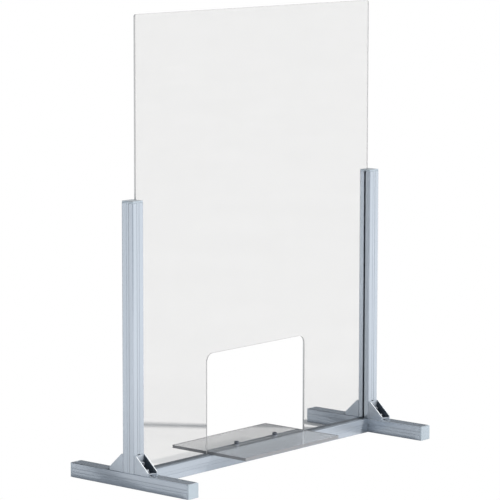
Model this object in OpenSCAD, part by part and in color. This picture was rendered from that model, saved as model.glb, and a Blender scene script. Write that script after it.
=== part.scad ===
// Free-standing hygiene screen for a serving counter.
// X runs along the width, Y from front to back, Z up. The origin is on the counter, midway
// between the two feet. All lengths are in millimetres.

/* [Frame] */
// Distance between the two post centres
post_spacing = 980; // [700:5:1400]
// Length of a post, standing on its foot
post_len = 708; // [400:2:900]
// Length of a foot without its end caps
foot_len = 410; // [320:5:600]

/* [Extrusion] */
// Outer width of the square extrusion
profile = 40; // [40:1:45]
// Radius of the extrusion's long edges
edge_r = 2.5; // [1:0.5:4]
// Width of a slot's mouth
slot_w = 8.2; // [8:0.1:8.6]
// Thickness of the lips on each side of a slot
lip_t = 4.5; // [3.5:0.5:4.5]
// Depth of a slot from the outer face
slot_depth = 12.25; // [12:0.25:12.5]

/* [Panel] */
// Thickness of the clear panel
panel_t = 6; // [5:0.5:6]
// Height of the panel from its bottom edge
panel_h = 1200; // [900:5:1400]
// Radius of the panel's top corners
panel_corner_r = 6; // [2:1:40]
// Width of the pass-through opening
opening_w = 408; // [300:2:600]
// Height of the opening's top edge above the counter
opening_top = 314; // [150:2:400]
// Radius of the opening's top corners
opening_r = 22; // [5:1:60]

/* [Shelf] */
// Width of the shelf that lies through the opening
shelf_w = 394; // [280:2:580]
// Depth of the shelf from front to back
shelf_d = 266; // [160:2:380]
// Thickness of the shelf
shelf_t = 8; // [6:1:10]
// Radius of the shelf's corners
shelf_corner_r = 3; // [1:1:20]
// Distance between the two shelf screws
screw_spacing = 160; // [80:5:260]

/* [Brackets and caps] */
// Length of each leg of an angle bracket
bracket_leg = 48; // [44:1:60]
// Width of a bracket
bracket_w = 38; // [34:1:40]
// Thickness of the end caps
cap_t = 5; // [3:1:8]

/* [Hidden] */
$fn = 48;
half = profile / 2;
post_x = post_spacing / 2;
post_top = profile + post_len;
rail_len = post_spacing - profile;
clear = 0.2;               // gap between sliding or loosely fitted pieces

// Slot cross-section, measured from the extrusion's centre line
slot_floor = half - slot_depth;
lip_in = half - lip_t;     // inner side of the lips
cavity_w = 20;             // width of the slot behind its lips
cavity_step = 3;           // depth over which the cavity keeps that width
floor_w = 12;              // width of the slot's floor
flare_w = 1.5;             // width of the shallow bevel on each side of a slot's mouth
flare_t = 0.5;             // its depth
core_bore_r = 3.4;
corner_void = 4.8;
corner_void_at = half - 4.8;

// Panel
groove = 10;               // engagement of the panel's edges in the slots
seal_lip_h = 3;            // height of the rail seals' lips above the rail
seal_lip_t = 0.8;          // thickness of those lips
panel_w = post_spacing - 2 * (half - groove);
panel_z = profile - groove;
foot_gap = 1;              // gap between the panel and the top and side of a foot

// Metric 8 fasteners
bolt_r = 3.95;
thread_r = 4;
bore_r = 4.3;
head_r = 6.5;
head_h = 8;
hex_af = 6;
hex_depth = 4.5;
washer_r = 8;
washer_t = 1.6;
bracket_bolt_len = 16;
shelf_bolt_len = 20;
nut_len = 20;

// Rail end joint
button_r = 7;
button_h = 4.4;
plate_t = 2;
plate_l = 20;
plate_w = 18;
rail_bolt_len = 30;
tapped_len = 28;
access_r = 3.5;

// Bracket
plate = 4;                 // thickness of a bracket's two legs
wall = 4;                  // thickness of its two side walls
lip_foot = 9;              // height of the side wall at its outer end
lip_top = 6;               // depth of the side wall at its top end
hole_at = 26;              // distance of a bolt from the bracket's inside corner
notch_d = 8;               // depth of the round notch in the front end of a bracket's lower leg

// Slot covers
cover_recess = 1;
cover_t = 1.5;
cover_w = 8;
cover_end = 2;             // gap between a cover and a bracket

// ---- placing -------------------------------------------------------------------------------

// Extrude a section along X, its own x and y becoming Y and Z
module along_x(length) {
    rotate([90, 0, 90]) linear_extrude(length, center = true) children();
}

// Extrude a section along Y, its own x and y becoming X and Z
module along_y(length) {
    rotate([90, 0, 0]) linear_extrude(length, center = true) children();
}

// Repeat the children on the other side of the X = 0 plane when side is 1
module on_side(side) {
    mirror([side > 0 ? 1 : 0, 0, 0]) children();
}

// Repeat the children behind the Y = 0 plane when face is 1
module on_face(face) {
    mirror([0, face > 0 ? 1 : 0, 0]) children();
}

// ---- sections ------------------------------------------------------------------------------

// A square with four round corners
module round_square(w, h, r) {
    square([w - 2 * r, h], center = true);
    square([w, h - 2 * r], center = true);
    for (x = [-1, 1], y = [-1, 1])
        translate([x * (w / 2 - r), y * (h / 2 - r)]) circle(r);
}

// The T-shaped slot that opens towards +x of the section, its mouth bevelled
module slot_void() {
    mouth = slot_w / 2;
    outer = mouth + flare_w * (1 + 1 / flare_t);
    translate([lip_in - 0.5, -mouth]) square([lip_t + 1, slot_w]);
    polygon([
        [half - flare_t, -mouth], [half + 1, -outer], [half + 1, outer], [half - flare_t, mouth]
    ]);
    polygon([
        [lip_in, -cavity_w / 2], [lip_in, cavity_w / 2],
        [lip_in - cavity_step, cavity_w / 2], [slot_floor, floor_w / 2],
        [slot_floor, -floor_w / 2], [lip_in - cavity_step, -cavity_w / 2]
    ]);
}

// The whole extrusion: four slots, a central bore and a void in each corner
module section() {
    difference() {
        round_square(profile, profile, edge_r);
        for (a = [0:90:270]) rotate(a) slot_void();
        circle(core_bore_r);
        for (x = [-1, 1], y = [-1, 1])
            translate([x, y] * corner_void_at) square(corner_void, center = true);
    }
}

// The strip that closes a slot opening towards +x, clipped behind its lips
module cover_section() {
    leg_t = 1.2;
    hook_t = 1.3;
    hook_w = 2.4;
    top = half - cover_recess;
    leg_in = slot_w / 2 - clear - leg_t;
    hook_low = lip_in - clear - hook_t;
    translate([top - cover_t, -cover_w / 2]) square([cover_t, cover_w]);
    for (s = [-1, 1]) mirror([0, s > 0 ? 1 : 0]) {
        translate([hook_low, leg_in]) square([top - cover_t - hook_low, leg_t]);
        translate([hook_low, leg_in]) square([hook_t, hook_w]);
    }
}

// The U-shaped seal that holds the panel's edge in a slot opening towards +x
module seal_section() {
    fit = 0.05;
    hook_t = 1.8;
    hook_w = 1.2;
    inner = panel_t / 2 + clear;
    outer = slot_w / 2 - fit;
    web_low = slot_floor + fit;
    web_high = half - groove - clear;
    translate([web_low, -outer]) square([web_high - web_low, 2 * outer]);
    for (s = [-1, 1]) mirror([0, s > 0 ? 1 : 0]) {
        translate([web_low, inner]) square([half - web_low, outer - inner]);
        translate([lip_in - clear - hook_t, inner]) square([hook_t, outer - inner + hook_w]);
    }
}

// A slot nut's outline, in a slot opening towards +x
module nut_section() {
    depth = 5.5;
    shoulder = 3;
    slope = 2;
    neck_h = 2.4;
    neck_w = slot_w - 2 * clear;
    body_w = 15;
    translate([lip_in - slope, -neck_w / 2]) square([slope + neck_h, neck_w]);
    polygon([
        [lip_in, -body_w / 2], [lip_in, body_w / 2], [lip_in - shoulder, body_w / 2],
        [lip_in - depth, body_w / 2 - slope], [lip_in - depth, slope - body_w / 2],
        [lip_in - shoulder, -body_w / 2]
    ]);
}

// ---- extrusions ----------------------------------------------------------------------------

module foot(side) {
    color("lightsteelblue") on_side(side) translate([-post_x, 0, half]) difference() {
        along_y(foot_len) section();
        // access for the key that turns the rail's end screw
        rotate([0, 90, 0]) cylinder(h = 2 * slot_floor + 2, r = access_r, center = true);
    }
}

module post(side) {
    color("lightsteelblue") translate([side * post_x, 0, profile]) linear_extrude(post_len) section();
}

module rail() {
    color("lightsteelblue") translate([0, 0, half]) difference() {
        along_x(rail_len) section();
        for (s = [-1, 1]) translate([s * rail_len / 2, 0, 0]) rotate([0, 90, 0])
            cylinder(h = 2 * tapped_len, r = thread_r, center = true);
    }
}

// ---- end caps ------------------------------------------------------------------------------

// A plate over an extrusion's end, a little smaller than the extrusion, with pegs for the corner
// voids. Its outer edges are chamfered and its inner edges are broken, which leaves a fine groove
// at the joint. The end of the extrusion is at z = 0 and the cap lies above it.
module cap_body() {
    chamfer = 1.2;
    edge_break = 0.6;
    side = half - 0.3;
    peg_r = corner_void / 2 - 0.3;
    peg_len = 12;
    outline = [
        [edge_break - side, 0], [side - edge_break, 0], [side, edge_break], [side, cap_t - chamfer],
        [side - chamfer, cap_t], [chamfer - side, cap_t], [-side, cap_t - chamfer], [-side, edge_break]
    ];
    intersection() {
        linear_extrude(cap_t) round_square(2 * side, 2 * side, edge_r);
        along_x(profile) polygon(outline);
        along_y(profile) polygon(outline);
    }
    for (x = [-1, 1], y = [-1, 1])
        translate([x * corner_void_at, y * corner_void_at, -peg_len]) cylinder(h = peg_len + 1, r = peg_r);
}

module foot_cap(side, face) {
    color("silver") on_face(face) translate([side * post_x, -foot_len / 2, half])
        rotate([90, 0, 0]) cap_body();
}

module post_cap(side) {
    color("silver") on_side(side) translate([-post_x, 0, post_top]) difference() {
        cap_body();
        // the panel passes through the cap
        translate([slot_floor, -slot_w / 2, -1]) cube([profile, slot_w, cap_t + 2]);
    }
}

// ---- fasteners -----------------------------------------------------------------------------

// Socket head bolt: its head stands on z = 0 and its shank hangs below
module cap_bolt(length) {
    chamfer = 0.8;
    difference() {
        union() {
            cylinder(h = head_h - chamfer, r = head_r);
            translate([0, 0, head_h - chamfer]) cylinder(h = chamfer, r1 = head_r, r2 = head_r - chamfer);
            translate([0, 0, -length]) cylinder(h = length + 1, r = bolt_r);
        }
        translate([0, 0, head_h - hex_depth])
            cylinder(h = hex_depth + 1, d = hex_af / cos(30), $fn = 6);
    }
}

module washer() {
    difference() {
        cylinder(h = washer_t, r = washer_r);
        translate([0, 0, -1]) cylinder(h = washer_t + 2, r = bore_r);
    }
}

// A slot nut for a slot that opens upwards, the extrusion's centre line at z = 0
module slot_nut() {
    difference() {
        rotate([0, -90, 0]) linear_extrude(nut_len, center = true) nut_section();
        cylinder(h = profile, r = thread_r);
    }
}

// The two bolt places of one bracket: on top of the foot and on the face of the post.
// The children's z axis points away from the extrusion, and z = 0 is its outer face.
module at_bracket_holes(side) {
    for (face = [-1, 1]) on_face(face) {
        translate([side * post_x, -half - hole_at, profile]) rotate([0, 0, 90]) children();
        translate([side * post_x, -half, profile + hole_at]) rotate([90, 0, 0]) rotate([0, 0, 90]) children();
    }
}

module bracket_bolts(side) {
    color("gainsboro") at_bracket_holes(side)
        translate([0, 0, plate + washer_t]) cap_bolt(bracket_bolt_len);
}

module bracket_washers(side) {
    color("gray") at_bracket_holes(side) translate([0, 0, plate]) washer();
}

module bracket_nuts(side) {
    color("gray") at_bracket_holes(side) translate([0, 0, -half]) slot_nut();
}

module at_shelf_screws(z) {
    for (s = [-1, 1]) translate([s * screw_spacing / 2, 0, z]) children();
}

// Rail end screw: its button head sits in the foot's slot and its shank in the rail's bore
module rail_end_screw() {
    key_af = 5;
    key_depth = 2.5;
    crown = 2;
    head_x = -rail_len / 2 - lip_t - plate_t;
    translate([head_x, 0, half]) rotate([0, 90, 0]) difference() {
        union() {
            translate([0, 0, -button_h]) cylinder(h = button_h, r1 = button_r - crown, r2 = button_r);
            cylinder(h = rail_bolt_len, r = bolt_r);
        }
        translate([0, 0, -button_h - 1]) cylinder(h = key_depth + 1, d = key_af / cos(30), $fn = 6);
    }
}

module rail_end_plate() {
    translate([-rail_len / 2 - lip_t - plate_t, 0, half]) rotate([0, 90, 0]) difference() {
        translate([-plate_w / 2, -plate_l / 2, 0]) cube([plate_w, plate_l, plate_t]);
        translate([0, 0, -1]) cylinder(h = plate_t + 2, r = bore_r);
    }
}

// ---- brackets ------------------------------------------------------------------------------

// Cast angle bracket: two legs and two side walls with a slanted edge, open at the slant
module bracket(side, face) {
    leg = bracket_leg;
    outline = [[0, 0], [leg, 0], [leg, lip_foot], [lip_top, leg], [0, leg]];
    notch_half = bracket_w / 2 - wall;
    notch_r = (notch_half * notch_half / notch_d + notch_d) / 2;
    color("darkgray") on_face(face) translate([side * post_x, -half, profile]) difference() {
        union() {
            translate([-bracket_w / 2, -leg, 0]) cube([bracket_w, leg, plate]);
            translate([-bracket_w / 2, -plate, 0]) cube([bracket_w, plate, leg]);
            for (s = [-1, 1]) translate([s * (bracket_w - wall) / 2, 0, 0])
                along_x(wall) mirror([1, 0]) polygon(outline);
        }
        translate([0, -hole_at, -1]) cylinder(h = plate + 2, r = bore_r);
        translate([0, 1, hole_at]) rotate([90, 0, 0]) cylinder(h = plate + 2, r = bore_r);
        // round notch between the side walls
        translate([0, notch_d - leg - notch_r, -1]) cylinder(h = plate + 2, r = notch_r);
    }
}

// ---- seals and covers ----------------------------------------------------------------------

module post_seal(side) {
    color("black") on_side(side) translate([-post_x, 0, profile])
        linear_extrude(post_len) seal_section();
}

// The rail's seals also have a lip on each side of the panel, above the rail
module rail_seal(side) {
    length = (rail_len - opening_w) / 2;
    low = panel_t / 2 + clear;
    color("black") translate([side * (rail_len - length) / 2, 0, half]) along_x(length) rotate(90) {
        seal_section();
        for (s = [-1, 1]) mirror([0, s > 0 ? 1 : 0])
            translate([half - 1, low]) square([seal_lip_h + 1, seal_lip_t]);
    }
}

// A cover from z = 0 upwards, in a slot opening towards +x
module cover(length) {
    color("lightsteelblue") linear_extrude(length) cover_section();
}

// turn is the direction in which the covered slot opens: 0 for +X, 90 for +Y and so on
module post_cover(side, turn, low) {
    translate([side * post_x, 0, low]) rotate([0, 0, turn]) cover(post_top - low);
}

// Foot covers run along Y between two distances from the middle
module foot_cover(side, turn, near, far) {
    on_side(side) translate([-post_x, -near, half]) rotate([90, 0, 0]) rotate([0, 0, turn])
        cover(far - near);
}

module rail_cover(turn) {
    translate([-rail_len / 2, 0, half]) rotate([90, 0, 90]) rotate([0, 0, turn]) cover(rail_len);
}

// ---- panel and shelf -----------------------------------------------------------------------

module panel_outline() {
    rail_part = rail_len / 2 - foot_gap;
    lift = profile + foot_gap - panel_z;
    difference() {
        union() {
            translate([-panel_w / 2, lift]) square([panel_w, panel_h - lift - panel_corner_r]);
            translate([-rail_part, 0]) square([2 * rail_part, panel_h / 2]);
            translate([panel_corner_r - panel_w / 2, panel_h / 2])
                square([panel_w - 2 * panel_corner_r, panel_h / 2]);
            for (s = [-1, 1]) translate([s * (panel_w / 2 - panel_corner_r), panel_h - panel_corner_r])
                circle(panel_corner_r);
        }
        // opening, its lower end open
        top = opening_top - panel_z;
        translate([-opening_w / 2, -1]) square([opening_w, top + 1 - opening_r]);
        translate([opening_r - opening_w / 2, -1]) square([opening_w - 2 * opening_r, top + 1]);
        for (s = [-1, 1]) translate([s * (opening_w / 2 - opening_r), top - opening_r])
            circle(opening_r);
    }
}

module clear_panel() {
    color("azure", 0.3) translate([0, 0, panel_z]) along_y(panel_t) panel_outline();
}

module clear_shelf() {
    color("azure", 0.4) translate([0, 0, profile]) difference() {
        linear_extrude(shelf_t) round_square(shelf_w, shelf_d, shelf_corner_r);
        at_shelf_screws(-1) cylinder(h = shelf_t + 2, r = bore_r + clear);
    }
}

// ---- the sub-parts -------------------------------------------------------------------------

module left_foot() { foot(-1); }
module right_foot() { foot(1); }
module left_post() { post(-1); }
module right_post() { post(1); }
module cross_rail() { rail(); }
module left_foot_front_cap() { foot_cap(-1, -1); }
module left_foot_rear_cap() { foot_cap(-1, 1); }
module right_foot_front_cap() { foot_cap(1, -1); }
module right_foot_rear_cap() { foot_cap(1, 1); }
module left_post_cap() { post_cap(-1); }
module right_post_cap() { post_cap(1); }
module left_front_bracket() { bracket(-1, -1); }
module left_rear_bracket() { bracket(-1, 1); }
module right_front_bracket() { bracket(1, -1); }
module right_rear_bracket() { bracket(1, 1); }
module left_bracket_bolts() { bracket_bolts(-1); }
module right_bracket_bolts() { bracket_bolts(1); }
module left_bracket_washers() { bracket_washers(-1); }
module right_bracket_washers() { bracket_washers(1); }
module left_bracket_nuts() { bracket_nuts(-1); }
module right_bracket_nuts() { bracket_nuts(1); }
module left_post_seal() { post_seal(-1); }
module right_post_seal() { post_seal(1); }
module left_rail_seal() { rail_seal(-1); }
module right_rail_seal() { rail_seal(1); }
module panel() { clear_panel(); }
module shelf() { clear_shelf(); }
module shelf_screws() {
    color("gainsboro") at_shelf_screws(profile + shelf_t + washer_t) cap_bolt(shelf_bolt_len);
}
module shelf_washers() {
    color("gray") at_shelf_screws(profile + shelf_t) washer();
}
module shelf_nuts() {
    color("gray") at_shelf_screws(half) slot_nut();
}
module rail_end_screws() {
    color("gray") for (side = [-1, 1]) on_side(side) rail_end_screw();
}
module rail_end_plates() {
    color("gray") for (side = [-1, 1]) on_side(side) rail_end_plate();
}

post_cover_low = profile + bracket_leg + cover_end;
foot_cover_near = half + bracket_leg + cover_end;
foot_cover_far = foot_len / 2;

module left_post_outer_cover() { post_cover(-1, 180, profile); }
module left_post_front_cover() { post_cover(-1, -90, post_cover_low); }
module left_post_rear_cover() { post_cover(-1, 90, post_cover_low); }
module right_post_outer_cover() { post_cover(1, 0, profile); }
module right_post_front_cover() { post_cover(1, -90, post_cover_low); }
module right_post_rear_cover() { post_cover(1, 90, post_cover_low); }
module left_foot_outer_cover() { foot_cover(-1, 180, -foot_cover_far, foot_cover_far); }
module left_foot_top_front_cover() { foot_cover(-1, 90, foot_cover_near, foot_cover_far); }
module left_foot_top_rear_cover() { foot_cover(-1, 90, -foot_cover_far, -foot_cover_near); }
module left_foot_inner_front_cover() { foot_cover(-1, 0, half + clear, foot_cover_far); }
module left_foot_inner_rear_cover() { foot_cover(-1, 0, -foot_cover_far, -half - clear); }
module right_foot_outer_cover() { foot_cover(1, 180, -foot_cover_far, foot_cover_far); }
module right_foot_top_front_cover() { foot_cover(1, 90, foot_cover_near, foot_cover_far); }
module right_foot_top_rear_cover() { foot_cover(1, 90, -foot_cover_far, -foot_cover_near); }
module right_foot_inner_front_cover() { foot_cover(1, 0, half + clear, foot_cover_far); }
module right_foot_inner_rear_cover() { foot_cover(1, 0, -foot_cover_far, -half - clear); }
module rail_front_cover() { rail_cover(180); }
module rail_rear_cover() { rail_cover(0); }

left_foot();
right_foot();
left_post();
right_post();
cross_rail();
left_foot_front_cap();
left_foot_rear_cap();
right_foot_front_cap();
right_foot_rear_cap();
left_post_cap();
right_post_cap();
left_front_bracket();
left_rear_bracket();
right_front_bracket();
right_rear_bracket();
left_bracket_bolts();
right_bracket_bolts();
left_bracket_washers();
right_bracket_washers();
left_bracket_nuts();
right_bracket_nuts();
left_post_seal();
right_post_seal();
left_rail_seal();
right_rail_seal();
panel();
shelf();
shelf_screws();
shelf_washers();
shelf_nuts();
rail_end_screws();
rail_end_plates();
left_post_outer_cover();
left_post_front_cover();
left_post_rear_cover();
right_post_outer_cover();
right_post_front_cover();
right_post_rear_cover();
left_foot_outer_cover();
left_foot_top_front_cover();
left_foot_top_rear_cover();
left_foot_inner_front_cover();
left_foot_inner_rear_cover();
right_foot_outer_cover();
right_foot_top_front_cover();
right_foot_top_rear_cover();
right_foot_inner_front_cover();
right_foot_inner_rear_cover();
rail_front_cover();
rail_rear_cover();
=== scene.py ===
"""The looks of a free-standing sneeze guard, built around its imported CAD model."""
import math

import bpy
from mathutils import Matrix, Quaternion, Vector


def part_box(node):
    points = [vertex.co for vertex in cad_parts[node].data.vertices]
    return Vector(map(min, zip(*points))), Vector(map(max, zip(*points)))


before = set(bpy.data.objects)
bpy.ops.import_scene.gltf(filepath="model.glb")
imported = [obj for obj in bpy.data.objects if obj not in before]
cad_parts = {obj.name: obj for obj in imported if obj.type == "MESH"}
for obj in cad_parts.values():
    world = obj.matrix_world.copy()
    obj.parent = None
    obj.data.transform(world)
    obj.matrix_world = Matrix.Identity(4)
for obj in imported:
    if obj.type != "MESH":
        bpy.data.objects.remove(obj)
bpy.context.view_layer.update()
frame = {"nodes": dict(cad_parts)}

MM = 0.001

# ---- camera --------------------------------------------------------------------------------

CAMERA_AT = Vector((-5.8235, -4.9782, 1.6470))
CAMERA_YAW = math.radians(40.650)      # from +X towards +Y
CAMERA_PITCH = math.radians(7.982)     # below the horizontal
CAMERA_ROLL = math.radians(0.094)
CAMERA_LENS = 205.67                   # in millimetres, as is the sensor
CAMERA_SENSOR = 36.0
CAMERA_REACH = 200.0                   # past the far corner of the floor


def make_camera():
    """A long lens, far off to the front left and a little above the object."""
    heading = Vector((
        math.cos(CAMERA_YAW) * math.cos(CAMERA_PITCH),
        math.sin(CAMERA_YAW) * math.cos(CAMERA_PITCH),
        -math.sin(CAMERA_PITCH),
    ))
    data = bpy.data.cameras.new("camera")
    data.sensor_width = CAMERA_SENSOR
    data.lens = CAMERA_LENS
    data.clip_end = CAMERA_REACH
    camera = bpy.data.objects.new("camera", data)
    bpy.context.scene.collection.objects.link(camera)
    camera.location = CAMERA_AT
    turn = heading.to_track_quat("-Z", "Y") @ Quaternion((0, 0, 1), CAMERA_ROLL)
    camera.rotation_euler = turn.to_euler()
    bpy.context.scene.camera = camera


# ---- node helpers --------------------------------------------------------------------------

class Nodes:
    """A short way to write a node tree. A colour is three numbers."""

    def __init__(self, tree):
        self.tree = tree
        tree.nodes.clear()

    def add(self, kind, inputs=None, **settings):
        node = self.tree.nodes.new(kind)
        for name, value in settings.items():
            setattr(node, name, value)
        for name, value in (inputs or {}).items():
            socket = node.inputs[name]
            if isinstance(value, bpy.types.NodeSocket):
                self.tree.links.new(value, socket)
            elif socket.type == "RGBA":
                socket.default_value = (*value, 1.0)
            else:
                socket.default_value = value
        return node

    def math(self, operation, a, b=0.0, c=0.0, clamp=False):
        node = self.add("ShaderNodeMath", {0: a, 1: b, 2: c}, operation=operation, use_clamp=clamp)
        return node.outputs[0]

    def above(self, value, limit):
        return self.math("GREATER_THAN", value, limit)

    def below(self, value, limit):
        return self.math("LESS_THAN", value, limit)

    def abs(self, value):
        return self.math("ABSOLUTE", value)

    def product(self, first, *others):
        for other in others:
            first = self.math("MULTIPLY", first, other)
        return first

    def around(self, middle, *parts):
        """The middle number, moved up and down by each part, which is a noise and its spread."""
        total = middle - sum(spread for noise, spread in parts) / 2
        for noise, spread in parts:
            total = self.math("MULTIPLY_ADD", noise, spread, total)
        return total

    def dot(self, a, b):
        return self.add("ShaderNodeVectorMath", {0: a, 1: b}, operation="DOT_PRODUCT").outputs["Value"]

    def mix_colours(self, fac, a, b):
        """Colour a where fac is 0, and colour b where it is 1."""
        return self.add("ShaderNodeMix", {0: fac, 6: a, 7: b}, data_type="RGBA").outputs[2]

    def mix_numbers(self, fac, a, b):
        """Number a where fac is 0, and number b where it is 1."""
        return self.add("ShaderNodeMix", {0: fac, 2: a, 3: b}, data_type="FLOAT").outputs[0]

    def mix_shaders(self, fac, a, b):
        """Shader a where fac is 0, and shader b where it is 1."""
        return self.add("ShaderNodeMixShader", {0: fac, 1: a.outputs[0], 2: b.outputs[0]})

    def ramp(self, fac, span, first, last):
        """The first colour or number up to the span's start, and the last one from its end on."""
        node = self.add("ShaderNodeValToRGB", {"Fac": fac})
        for element, place, colour in zip(node.color_ramp.elements, span, (first, last)):
            element.position = place
            if isinstance(colour, float):
                colour = (colour, colour, colour)
            element.color = (*colour, 1.0)
        return node.outputs["Color"]

    def place(self):
        """Object coordinates, which are the same as the CAD model's."""
        return self.add("ShaderNodeTexCoord").outputs["Object"]

    def normal(self):
        """The surface's normal, as its three numbers."""
        return self.split(self.add("ShaderNodeNewGeometry").outputs["Normal"])

    def split(self, vector):
        return self.add("ShaderNodeSeparateXYZ", {"Vector": vector}).outputs

    def noise(self, scale, detail=2.0, roughness=0.5):
        """Noise with scale waves a metre: one number, or one for each axis."""
        if isinstance(scale, float):
            scale = (scale, scale, scale)
        stretched = self.add("ShaderNodeMapping", {"Vector": self.place(), "Scale": scale})
        node = self.add("ShaderNodeTexNoise", {
            "Vector": stretched.outputs["Vector"], "Scale": 1.0, "Detail": detail, "Roughness": roughness})
        return node.outputs["Fac"]

    def cloud(self, scale):
        """Noise with soft patches in more than one size."""
        return self.noise(scale, detail=3.0, roughness=0.6)

    def bump(self, height, strength, distance):
        node = self.add("ShaderNodeBump", {"Height": height, "Strength": strength, "Distance": distance})
        return node.outputs["Normal"]


def material(name):
    made = bpy.data.materials.new(name)
    made.use_nodes = True
    return made, Nodes(made.node_tree)


def finish_material(nodes, shader):
    nodes.add("ShaderNodeOutputMaterial", {"Surface": shader.outputs[0]})


def dimmed(colour, level):
    return [part * level for part in colour]


# ---- metals --------------------------------------------------------------------------------

AXES = "xyz"
METALLIC = 0.62                # anodised, coated and silver-filled skins scatter a part of the light
STREAKS = (0.30, 0.70)         # the noise's values over which a streak's colour changes,
PATCHES = (0.35, 0.65)         # and a patch's

# noise scales, in waves a metre
FINE_LINES = (900.0, 3.0)      # across the lines that drawing leaves, and along them
BROAD_LINES = (150.0, 0.8)
DRAWN_CLOUD = 14.0
CAST_GRAIN = 1400.0
CAST_CLOUD = 60.0
TURNING_MARKS = (500.0, 500.0, 2500.0)
HANDLING_CLOUD = 180.0

DRAWN_ROUGH = 0.22
CAST_ROUGH = 0.36

SLOT_MOUTH = 12 * MM           # across a slot and the bevels of its mouth, with some slack
LIP_TILT = (0.1, 0.9)          # the part of a lip's normal along the axis across its slot
# near-black painted shade along one lip of each post slot
LIP_SHADE_COLOUR = (0.03, 0.035, 0.04)

BRACKET_WALL = 4 * MM
BRACKET_PLATE = 4 * MM
BRACKET_TOE = 9 * MM           # height of a side wall at the end of the lower leg
BRACKET_TOP = 6 * MM           # depth of a side wall at the end of the upper leg
BRACKET_SLACK = 0.05 * MM      # takes the pocket's own walls in
SHADE_DEPTH = 14 * MM         # the pocket's painted shade is full from this depth below its rim
SHADE_FADE = (0.35, 1.0)      # parts of that depth over which it darkens
SIDEWAYS = 0.7                 # least part along X of a side wall's normal
SLANTED = 0.4                  # least part along Y, and along Z, of the slanted rim's normal
# a painted highlight along the bracket's slanted rim
RIM_HIGHLIGHT_COLOUR = (0.43, 0.45, 0.47)


def slot_lip_shade(n):
    """1 on one lip of each covered post slot, where a dark line of painted shade runs along the slot's
    edge.
    """
    low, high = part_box("right_post")
    centre = [(low[axis] + high[axis]) / 2 for axis in (0, 1)]
    place = n.split(n.place())
    normal = n.normal()
    out = n.abs(place[0])
    outside = n.above(out, centre[0])
    lip_shade = 0.0
    for axis, across, covered in ((0, out, 1.0), (1, place[1], outside)):
        off_centre = n.abs(n.math("SUBTRACT", across, centre[axis]))
        mouth = n.product(n.below(off_centre, SLOT_MOUTH / 2), covered)
        lip = n.product(n.above(normal[axis], LIP_TILT[0]), n.below(normal[axis], LIP_TILT[1]))
        lip_shade = n.math("MAXIMUM", lip_shade, n.product(mouth, lip))
    return lip_shade


def line_scale(along, across, lengthwise):
    """The noise scale of lines that run along one axis."""
    return [lengthwise if axis == along else across for axis in AXES]


def drawn_metal(name, along, colour, streak_colour, lip_shade=False):
    """Satin anodised aluminium with the fine lines of its drawing running along one axis."""
    made, n = material(name)
    fine = n.cloud(line_scale(along, *FINE_LINES))
    broad = n.noise(line_scale(along, *BROAD_LINES))
    tint = n.ramp(broad, STREAKS, streak_colour, colour)
    if lip_shade:
        # paint shade along one lip of each post slot
        tint = n.mix_colours(slot_lip_shade(n), tint, LIP_SHADE_COLOUR)
    finish_material(n, n.add("ShaderNodeBsdfPrincipled", {
        "Base Color": tint, "Metallic": METALLIC,
        "Roughness": n.around(DRAWN_ROUGH, (fine, 0.06), (n.cloud(DRAWN_CLOUD), 0.03)),
        "Normal": n.bump(fine, strength=0.15, distance=0.05 * MM)}))
    return made


def bracket_masks(n):
    """1 where shade is painted into a bracket's pocket, and 1 where a highlight is painted along the
    slanted rim round it. Both are worked out for the bracket in the +X, +Y corner, and the other three
    mirror it."""
    low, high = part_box("right_rear_bracket")
    corner = n.add("ShaderNodeVectorMath", {0: n.place()}, operation="ABSOLUTE").outputs["Vector"]
    across, along, up = n.split(corner)
    inside = n.product(
        n.above(across, low[0] + BRACKET_WALL - BRACKET_SLACK),
        n.below(across, high[0] - BRACKET_WALL + BRACKET_SLACK),
        n.above(along, low[1] + BRACKET_PLATE - BRACKET_SLACK),
        n.above(up, low[2] + BRACKET_PLATE - BRACKET_SLACK))
    # the rim's plane rises from the toe to the top of the side walls
    toe = Vector((0.0, high[1], low[2] + BRACKET_TOE))
    run = high[1] - low[1] - BRACKET_TOP
    rise = high[2] - low[2] - BRACKET_TOE
    outward = Vector((0.0, rise, run)).normalized()
    depth = n.math("SUBTRACT", toe.dot(outward), n.dot(corner, outward))
    deep = n.ramp(n.product(depth, 1 / SHADE_DEPTH), SHADE_FADE, 0.0, 1.0)
    normal = n.normal()
    side = n.above(n.abs(normal[0]), SIDEWAYS)
    # painted shade, deep in the pocket and on its side walls
    pocket = n.product(inside, n.math("MAXIMUM", deep, side))
    # the slanted rim, where a highlight is painted
    slanted = n.product(n.above(n.abs(normal[1]), SLANTED), n.above(normal[2], SLANTED))
    return pocket, n.product(slanted, n.math("SUBTRACT", 1.0, pocket))


def cast_metal(name, colour, shade_colour):
    """Powder-coated die casting, with shade painted dark into the depth of its pocket and on the pocket's
    side walls, and a highlight painted pale along its slanted rim."""
    made, n = material(name)
    grain = n.noise(CAST_GRAIN)
    cloud = n.cloud(CAST_CLOUD)
    pocket, rim = bracket_masks(n)
    tint = n.ramp(cloud, PATCHES, dimmed(colour, 0.93), colour)
    # the pocket's painted shade
    painted_shade = n.ramp(cloud, PATCHES, dimmed(shade_colour, 0.7), shade_colour)
    tint = n.mix_colours(pocket, tint, painted_shade)
    # paint a highlight along the slanted rim
    tint = n.mix_colours(rim, tint, RIM_HIGHLIGHT_COLOUR)
    # the painted shade and the painted highlight are not metallic
    unpainted_part = n.math("SUBTRACT", 1.0, n.math("MAXIMUM", pocket, rim))
    finish_material(n, n.add("ShaderNodeBsdfPrincipled", {
        "Base Color": tint, "Metallic": n.product(unpainted_part, METALLIC),
        "Roughness": n.around(CAST_ROUGH, (grain, 0.12)),
        "Normal": n.bump(grain, strength=0.3, distance=0.08 * MM)}))
    return made


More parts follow.
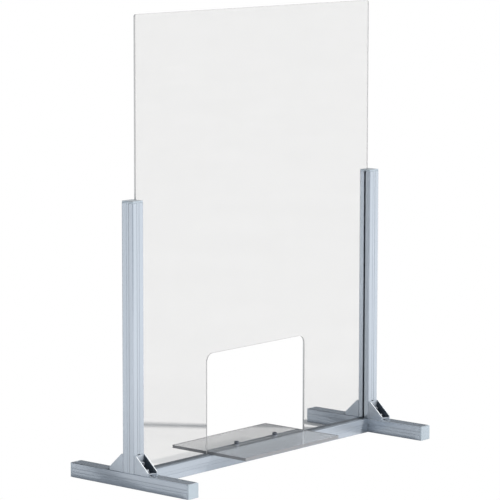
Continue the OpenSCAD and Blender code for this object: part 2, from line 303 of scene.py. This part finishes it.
def turned_steel(name, colour, roughness, metallic=1.0):
    """Steel with fine turning marks and small clouds of handling wear."""
    made, n = material(name)
    marks = n.noise(TURNING_MARKS)
    cloud = n.cloud(HANDLING_CLOUD)
    finish_material(n, n.add("ShaderNodeBsdfPrincipled", {
        "Base Color": n.ramp(cloud, PATCHES, dimmed(colour, 0.85), colour), "Metallic": metallic,
        "Roughness": n.around(roughness, (cloud, 0.14)),
        "Normal": n.bump(marks, strength=0.2, distance=0.03 * MM)}))
    return made


# ---- plastics, rubber and clear sheet ------------------------------------------------------

# noise scales, in waves a metre
MOULD_GRAIN = 1600.0
MOULD_CLOUD = 45.0
RUBBER_DUST = (120.0, 120.0, 25.0)
SCRATCH_HAZE = 9.0
SAW_GRAIN = 700.0

MOULD_ROUGH = 0.43
RUBBER_ROUGH = 0.575
SAWN_ROUGH = 0.20
DULL = 0.25                    # specular level of a surface with a fine grain
LOOKS_UP = (0.85, 0.98)        # the part of a normal along Z over which dust gathers
DUST_STREAKS = (0.35, 0.75)    # the noise's values over which dust hides the rubber
ACRYLIC_IOR = 1.49
FLAT = 0.98                    # a broad face's normal has at least this part along its own axis


def moulded_plastic(name, colour, dust_colour):
    """Silver-filled plastic with a fine spark-eroded grain, paler where it looks up and gathers dust."""
    made, n = material(name)
    grain = n.noise(MOULD_GRAIN)
    cloud = n.noise(MOULD_CLOUD)
    tint = n.ramp(cloud, PATCHES, dimmed(colour, 0.95), colour)
    dust = n.math("MULTIPLY", n.ramp(n.normal()[2], LOOKS_UP, 0.0, 1.0),
                  n.around(0.9, (cloud, 0.4)), clamp=True)
    finish_material(n, n.add("ShaderNodeBsdfPrincipled", {
        "Base Color": n.mix_colours(dust, tint, dust_colour),
        "Metallic": n.math("MULTIPLY_ADD", dust, -METALLIC, METALLIC),
        "Roughness": n.around(MOULD_ROUGH, (grain, 0.10)), "Specular IOR Level": DULL,
        "Normal": n.bump(grain, strength=0.2, distance=0.06 * MM)}))
    return made


def rubber(name, colour, dust_colour):
    """Extruded rubber, a little dusty along its length."""
    made, n = material(name)
    dust = n.cloud(RUBBER_DUST)
    finish_material(n, n.add("ShaderNodeBsdfPrincipled", {
        "Base Color": n.ramp(dust, DUST_STREAKS, colour, dust_colour),
        "Roughness": n.around(RUBBER_ROUGH, (dust, 0.15)), "Specular IOR Level": DULL,
        "Normal": n.bump(dust, strength=0.15, distance=0.1 * MM)}))
    return made


def clear_sheet(name, flat_axis, tint, shadow_tint, clarity, edge_tint):
    """Clear acrylic. Its broad faces are polished, and its sawn edges are frosted and grey.
    clarity is 1 for a clean surface, and less for one with a haze of fine scratches. Light passes
    two faces, so each takes the square root of a tint."""
    made, n = material(name)
    clear = [part ** 0.5 for part in tint]
    face = n.add("ShaderNodeBsdfPrincipled", {
        "Base Color": n.ramp(n.cloud(SCRATCH_HAZE), STREAKS, dimmed(clear, 0.99), clear),
        "Roughness": 0.0, "IOR": ACRYLIC_IOR, "Transmission Weight": clarity})
    rim = n.add("ShaderNodeBsdfPrincipled", {
        "Base Color": n.ramp(n.noise(SAW_GRAIN), STREAKS, dimmed(edge_tint, 0.88), edge_tint),
        "Roughness": SAWN_ROUGH, "IOR": ACRYLIC_IOR})
    edge = n.below(n.abs(n.normal()[AXES.index(flat_axis)]), FLAT)
    solid = n.mix_shaders(edge, face, rim)
    # light on its way to a surface passes straight through, without focused spots
    let_through = n.add("ShaderNodeBsdfTransparent", {"Color": [part ** 0.5 for part in shadow_tint]})
    path = n.add("ShaderNodeLightPath")
    passing = n.math("MAXIMUM", path.outputs["Is Shadow Ray"], path.outputs["Is Diffuse Ray"])
    finish_material(n, n.mix_shaders(passing, solid, let_through))
    return made


# ---- every piece's material and edges ------------------------------------------------------

METAL = (0.395, 0.44, 0.495)
METAL_STREAK = (0.378, 0.421, 0.474)
COVER_METAL = (0.39, 0.435, 0.49)
COVER_STREAK = (0.375, 0.418, 0.471)

MATERIALS = {
    "post": drawn_metal("anodised post", "z", METAL, METAL_STREAK, lip_shade=True),
    "foot": drawn_metal("anodised foot", "y", METAL, METAL_STREAK),
    "rail": drawn_metal("anodised rail", "x", METAL, METAL_STREAK),
    "post_cover": drawn_metal("post cover strip", "z", COVER_METAL, COVER_STREAK),
    "foot_cover": drawn_metal("foot cover strip", "y", COVER_METAL, COVER_STREAK),
    "rail_cover": drawn_metal("rail cover strip", "x", COVER_METAL, COVER_STREAK),
    "cap": moulded_plastic("grey cap plastic", (0.405, 0.462, 0.512), dust_colour=(0.35, 0.37, 0.39)),
    "bracket": cast_metal("cast bracket", (0.41, 0.455, 0.51), shade_colour=(0.050, 0.065, 0.085)),
    "bolt": turned_steel("bolt steel", (0.55, 0.58, 0.63), roughness=0.20, metallic=0.75),
    "screw": turned_steel("blackened steel", (0.10, 0.11, 0.13), roughness=0.25, metallic=0.4),
    "nut": turned_steel("zinc steel", (0.58, 0.59, 0.61), roughness=0.35),
    "post_seal": rubber("black seal", (0.007, 0.012, 0.019), dust_colour=(0.016, 0.024, 0.035)),
    "rail_seal": rubber("grey seal", (0.062, 0.069, 0.078), dust_colour=(0.084, 0.093, 0.104)),
    "panel": clear_sheet("clear panel", "y", (0.787, 0.787, 0.787), shadow_tint=(0.95, 0.95, 0.95),
                         clarity=1.0, edge_tint=(0.49, 0.49, 0.49)),
    "shelf": clear_sheet("clear shelf", "z", (0.975, 0.99, 1.0), shadow_tint=(0.68, 0.69, 0.70),
                         clarity=0.93, edge_tint=(0.165, 0.17, 0.18)),
}
FASTENERS = {"bolts": "bolt", "washers": "bolt", "screws": "screw", "nuts": "nut", "plates": "nut"}

# width of each rounded edge, in millimetres: seals, strips and nuts keep theirs sharp
BEVELS = {"post": 0.4, "foot": 0.4, "rail": 0.4, "cap": 0.4, "panel": 0.4, "shelf": 0.4,
          "bracket": 0.8, "bolt": 0.25, "screw": 0.25}
BEVEL_SEGMENTS = 2
SHARP = math.radians(35)
SPLIT = 0.01 * MM              # corners closer than this are one


def material_key(node):
    """Which material a node takes, from the words in its name."""
    words = node.split("_")
    kind = words[-1]
    if kind in ("cover", "seal"):
        return next(word for word in words if word in ("post", "foot", "rail")) + "_" + kind
    return FASTENERS.get(kind, kind)


def soften(obj, width):
    """Join the corners that the import split, then round the sharp edges a little."""
    weld = obj.modifiers.new("weld", "WELD")
    weld.merge_threshold = SPLIT
    bevel = obj.modifiers.new("edges", "BEVEL")
    bevel.width = width * MM
    bevel.segments = BEVEL_SEGMENTS
    bevel.limit_method = "ANGLE"
    bevel.angle_limit = SHARP
    bevel.harden_normals = True


def dress(nodes):
    for name, obj in nodes.items():
        key = material_key(name)
        obj.data.materials.clear()
        obj.data.materials.append(MATERIALS[key])
        if key in BEVELS:
            soften(obj, BEVELS[key])


# ---- surroundings --------------------------------------------------------------------------

WHITE = (1.0, 1.0, 1.0)
FLOOR_SIZE = 120.0
FLOOR_TINTS = (0.91, 0.93)
FLOOR_CLOUD = 2.0                       # waves a metre
SEEN_THROUGH = 0.66                     # level of the floor behind the clear sheets
RADIUS_REACH = 2.0                      # metres from the object that a ramp's whole width covers
NEAR_FLOOR = 0.65                       # level of the painted shade on the mirrored floor near the object,
NEAR_ENDS = (0.3, 1.5)                  # and the metres from it over which that rises to 1
RIGHT_FLOOR = 0.88                      # its level on the camera's right,
RIGHT_FADE = (0.1, 0.9)                 # and the parts of the way there over which it falls
RIGHT = (0.656, -0.755, 0.0)            # the camera's right, seen from above
DARK_BACK = 0.90                        # how much of the light the dark backdrop takes away
BACK = (0.34, 0.94, 0.0)                # its middle, seen from the object
BACK_FADE = (0.40, 0.58)                # cosines of the angle from there over which it darkens
BACK_FLOOR = (0.616, 0.788, 0.0)        # the middle of the dark part of the floor behind,
BACK_FLOOR_FADE = (0.25, 0.48)          # its own cosines,
BACK_FLOOR_ENDS = (1.0, 1.6)            # and the metres from the object over which it darkens

KEY_FROM = Vector((0.557, -0.83, 0.0))  # the key light stands in front, a little to the right
KEY_ELEVATION = math.radians(34.7)
KEY_ANGLE = math.radians(5)             # its size, seen from the object
KEY_STRENGTH = 5.3
KEY_COLOUR = (1.0, 0.972, 0.94)         # a little warm, against a fill that is a little cool
FILL = 0.76
FILL_COLOUR = (0.96, 1.0, 1.045)


def mirrored_floor(n, tint):
    """The floor as the metal mirrors it, with light and shade painted in: darker near the object, on its
    right and behind it.
    """
    place = n.place()
    radius = n.add("ShaderNodeVectorMath", {0: place}, operation="LENGTH").outputs["Value"]
    far = n.product(radius, 1 / RADIUS_REACH)
    direction = n.add("ShaderNodeVectorMath", {0: place}, operation="NORMALIZE").outputs["Vector"]
    near = n.ramp(far, [end / RADIUS_REACH for end in NEAR_ENDS], NEAR_FLOOR, 1.0)
    rightwards = n.math("MULTIPLY_ADD", n.dot(direction, RIGHT), 0.5, 0.5)
    side = n.ramp(rightwards, RIGHT_FADE, 1.0, RIGHT_FLOOR)
    behind = n.product(
        n.ramp(n.dot(direction, BACK_FLOOR), BACK_FLOOR_FADE, 0.0, DARK_BACK),
        n.ramp(far, [end / RADIUS_REACH for end in BACK_FLOOR_ENDS], 0.0, 1.0))
    return n.product(near, side, tint, n.math("SUBTRACT", 1.0, behind))


def make_floor():
    """A white floor, with levels of its own where the metal mirrors it and behind the clear sheets."""
    half = FLOOR_SIZE / 2
    mesh = bpy.data.meshes.new("floor")
    mesh.from_pydata([(-half, -half, 0), (half, -half, 0), (half, half, 0), (-half, half, 0)],
                     [], [(0, 1, 2, 3)])
    floor = bpy.data.objects.new("floor", mesh)
    bpy.context.scene.collection.objects.link(floor)
    made, n = material("white floor")
    tint = n.ramp(n.noise(FLOOR_CLOUD), STREAKS, *FLOOR_TINTS)
    path = n.add("ShaderNodeLightPath")
    level = n.mix_numbers(path.outputs["Is Glossy Ray"], tint, mirrored_floor(n, tint))
    level = n.mix_numbers(path.outputs["Is Transmission Ray"], level, n.product(tint, SEEN_THROUGH))
    board = n.add("ShaderNodeBsdfDiffuse", {"Color": level})
    lit = n.add("ShaderNodeEmission", {"Color": WHITE, "Strength": 1.0})
    finish_material(n, n.mix_shaders(path.outputs["Is Camera Ray"], board, lit))
    mesh.materials.append(made)


def make_key():
    """The key light, a soft sun. The metal doesn't mirror it, and it isn't seen through the sheets."""
    data = bpy.data.lights.new("key", "SUN")
    data.energy = KEY_STRENGTH
    data.color = KEY_COLOUR
    data.angle = KEY_ANGLE
    key = bpy.data.objects.new("key", data)
    bpy.context.scene.collection.objects.link(key)
    towards = KEY_FROM.normalized() * math.cos(KEY_ELEVATION)
    towards.z = math.sin(KEY_ELEVATION)
    key.rotation_euler = towards.to_track_quat("Z", "Y").to_euler()
    key.visible_glossy = False
    key.visible_transmission = False


def make_world():
    """A studio that looks white to the camera, and lights from all sides but its dark backdrop."""
    world = bpy.data.worlds.new("studio")
    bpy.context.scene.world = world
    world.use_nodes = True
    n = Nodes(world.node_tree)
    direction = n.add("ShaderNodeTexCoord").outputs["Generated"]
    behind = n.ramp(n.dot(direction, BACK), BACK_FADE, 0.0, DARK_BACK)
    level = n.product(n.math("SUBTRACT", 1.0, behind), FILL)
    path = n.add("ShaderNodeLightPath")
    camera_ray = path.outputs["Is Camera Ray"]
    plain = n.math("MAXIMUM", camera_ray, path.outputs["Is Transmission Ray"])
    background = n.add("ShaderNodeBackground", {
        "Color": n.mix_colours(plain, FILL_COLOUR, WHITE),
        "Strength": n.math("MAXIMUM", level, camera_ray)})
    n.add("ShaderNodeOutputWorld", {"Surface": background.outputs[0]})


make_camera()
dress(frame["nodes"])
make_floor()
make_key()
make_world()
bpy.context.scene.view_settings.view_transform = "Standard"
